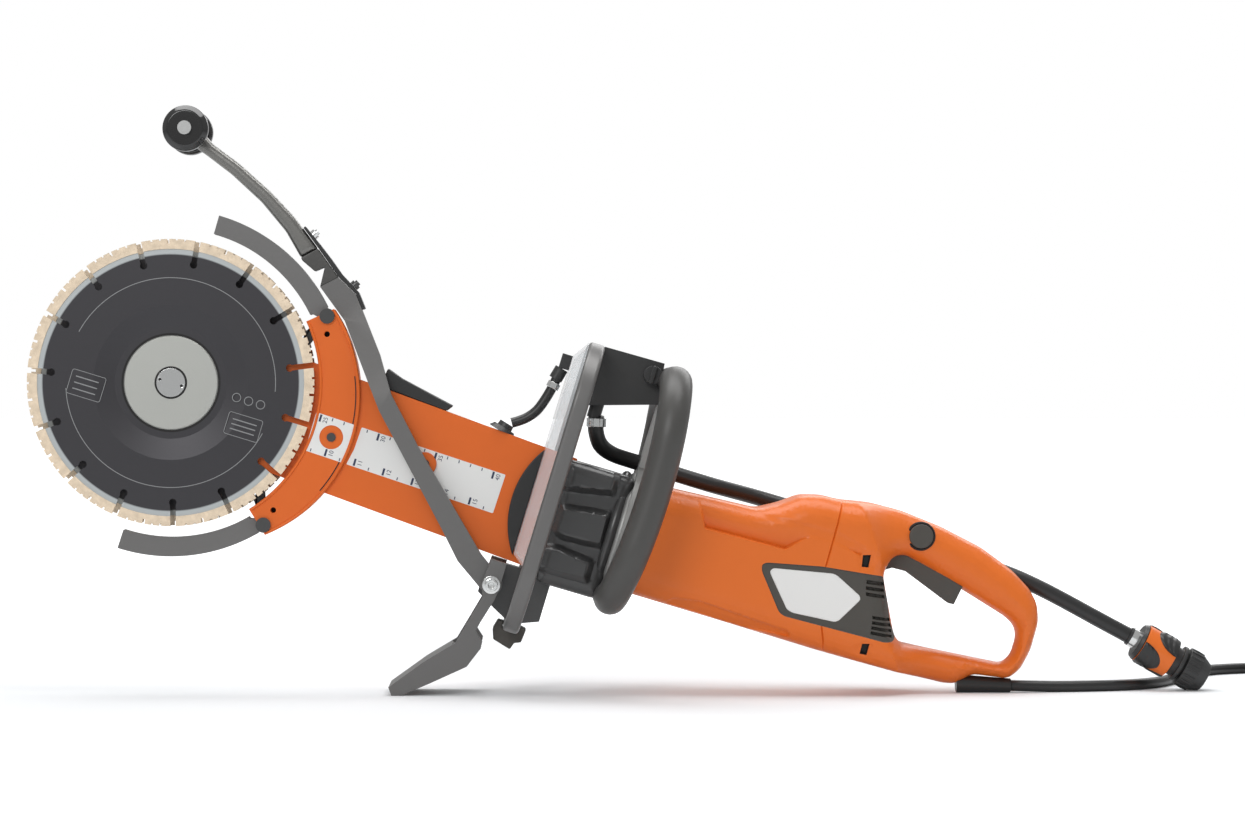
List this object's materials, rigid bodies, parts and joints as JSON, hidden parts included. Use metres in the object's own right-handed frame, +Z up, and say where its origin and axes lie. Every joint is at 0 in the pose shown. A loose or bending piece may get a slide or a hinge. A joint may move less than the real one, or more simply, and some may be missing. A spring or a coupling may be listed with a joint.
{
  "type": "handheld electric concrete saw",
  "caption": "Electric hand-held concrete cutter with twin toothed diamond discs on a long arm, clear splash shield, loop handle, roller guide, fold-out leg, water hose and power cord.",
  "frame": {"origin": "on the floor under the middle of the tool, without its hose and cord", "axes": "+Z up, +X from the blades towards the rear handle, -Y the tool's left side"},
  "size_m": [1.187, 0.3335, 0.47],
  "materials": {
    "core_steel": "dark lacquered steel",
    "segment": "sintered diamond segment",
    "flange": "satin, bead blasted",
    "bright_steel": "bright",
    "machined_steel": "machined",
    "belt": "matte",
    "copper": "wound copper under varnish",
    "laminate": "stacked sheet",
    "orange_paint": "smooth orange powder coat",
    "orange_plastic": "semi-gloss orange moulding",
    "grey_cast": "satin grey coat",
    "black_cast": "satin black coat",
    "light_cast": "cast, bare",
    "black_plastic": "fine texture",
    "dark_panel": "fine texture",
    "grey_rubber": "matte",
    "grip_rubber": "matte, soft",
    "black_rubber": "matte",
    "roller": "polished black",
    "clear_lens": "clear moulding"
  },
  "bodies": {
    "saw_body": {"bearings": "machined_steel", "drive_belt": "belt", "stator": "laminate", "arm_plate_left": "orange_paint", "arm_plate_right": "orange_paint", "arm_spacer": "light_cast", "arm_fasteners": "machined_steel", "blade_guard": "orange_paint", "water_nozzles": "black_plastic", "arm_deflector": "black_rubber", "shield_rim": "grey_cast", "shield_lens": "clear_lens", "shield_gasket": "black_rubber", "shield_clip": "dark_panel", "leg_bracket": "black_cast", "pivot_bolt": "bright_steel", "gearbox_housing": "black_cast", "handle_bracket": "light_cast", "front_handle": "grip_rubber", "bridge_box": "black_plastic", "hose_fittings": "black_plastic", "hose_clamps": "bright_steel", "arm_hose": "black_rubber", "motor_housing": "orange_plastic", "handle_shell_left": "orange_plastic", "handle_shell_right": "orange_plastic", "vent_panels": "dark_panel", "strain_relief": "black_rubber", "power_cord": "black_rubber", "cord_coil": "black_rubber", "mains_plug": "black_plastic", "water_hose": "black_rubber", "coupling_body": "black_plastic", "coupling_nut": "black_plastic"},
    "blade_set": {"blade_left": "core_steel", "blade_right": "core_steel", "diamond_segments": "segment", "blade_flanges": "flange", "centre_bolts": "bright_steel", "arbor_shaft": "machined_steel", "driven_pulley": "machined_steel"},
    "drive_shaft": {"drive_pulley": "machined_steel", "crown_gear": "machined_steel"},
    "rotor": {"motor_shaft": "machined_steel", "rotor_core": "copper", "cooling_fan": "black_plastic"},
    "flap_upper": {"splash_flap_upper": "grey_rubber"},
    "flap_lower": {"splash_flap_lower": "grey_rubber"},
    "guide_arm": {"guide_arm": "grey_cast", "guide_knuckle": "grip_rubber", "guide_strap": "black_rubber", "strap_screw": "machined_steel"},
    "guide_tip": {"guide_tip": "grey_cast", "tip_fasteners": "bright_steel"},
    "rollers": {"rollers": "roller"},
    "leg": {"support_leg": "grey_cast"},
    "tap": {"tap_knob": "black_plastic"},
    "trigger": {"trigger": "dark_panel"},
    "lock_button": {"lock_button": "dark_panel"},
    "sleeve": {"coupling_sleeve": "orange_plastic"}
  },
  "joints": [
    {"name": "blade_spin", "type": "hinge", "parent": "saw_body", "child": "blade_set", "pos_m": [-0.289, 0, 0.249], "axis": [0, 1, 0], "continuous": true},
    {"name": "drive_shaft_spin", "type": "hinge", "parent": "saw_body", "child": "drive_shaft", "pos_m": [0.04183, 0, 0.1374], "axis": [0, 1, 0], "continuous": true},
    {"name": "rotor_spin", "type": "hinge", "parent": "saw_body", "child": "rotor", "pos_m": [0.13841, 0, 0.10787], "axis": [0.9563, 0, -0.2924], "continuous": true},
    {"name": "upper_flap_fold", "type": "hinge", "parent": "saw_body", "child": "flap_upper", "pos_m": [-0.1638, 0, 0.30212], "axis": [0, 1, 0], "range_deg": [0, 4]},
    {"name": "lower_flap_fold", "type": "hinge", "parent": "saw_body", "child": "flap_lower", "pos_m": [-0.21491, 0, 0.13495], "axis": [0, -1, 0], "range_deg": [0, 40], "stiffness_Nm_per_rad": 1.5, "springref_deg": -5.73},
    {"name": "guide_swing", "type": "hinge", "parent": "saw_body", "child": "guide_arm", "pos_m": [-0.0321, 0, 0.08816], "axis": [0, 1, 0], "range_deg": [0, 35]},
    {"name": "guide_flex", "type": "hinge", "parent": "guide_arm", "child": "guide_tip", "pos_m": [-0.16742, 0, 0.34568], "axis": [0, -1, 0], "range_deg": [0, 8], "stiffness_Nm_per_rad": 6, "springref_deg": -8.59, "deforming": ["guide_knuckle", "guide_strap"]},
    {"name": "roller_spin", "type": "hinge", "parent": "guide_tip", "child": "rollers", "pos_m": [-0.27617, 0, 0.45171], "axis": [0, 1, 0], "continuous": true},
    {"name": "leg_fold", "type": "hinge", "parent": "saw_body", "child": "leg", "pos_m": [-0.0321, 0, 0.08816], "axis": [0, -1, 0], "range_deg": [0, 30]},
    {"name": "tap_turn", "type": "hinge", "parent": "saw_body", "child": "tap", "pos_m": [0.09658, -0.025, 0.25493], "axis": [0, 1, 0], "range_deg": [0, 90]},
    {"name": "trigger_pull", "type": "hinge", "parent": "saw_body", "child": "trigger", "pos_m": [0.29794, 0, 0.11661], "axis": [0, -1, 0], "range_deg": [0, 8], "stiffness_Nm_per_rad": 2, "springref_deg": -8.59},
    {"name": "lock_press", "type": "slide", "parent": "saw_body", "child": "lock_button", "axis": [0, 1, 0], "range_m": [0, 0.003], "stiffness_N_per_m": 500, "springref_m": -0.003},
    {"name": "sleeve_slide", "type": "slide", "parent": "saw_body", "child": "sleeve", "axis": [0.8729, 0, -0.4879], "range_m": [0, 0.004], "stiffness_N_per_m": 600, "springref_m": -0.003}
  ],
  "couplings": [
    {"joint": "drive_shaft_spin", "follows": "blade_spin", "ratio": 2},
    {"joint": "rotor_spin", "follows": "blade_spin", "ratio": -6}
  ]
}
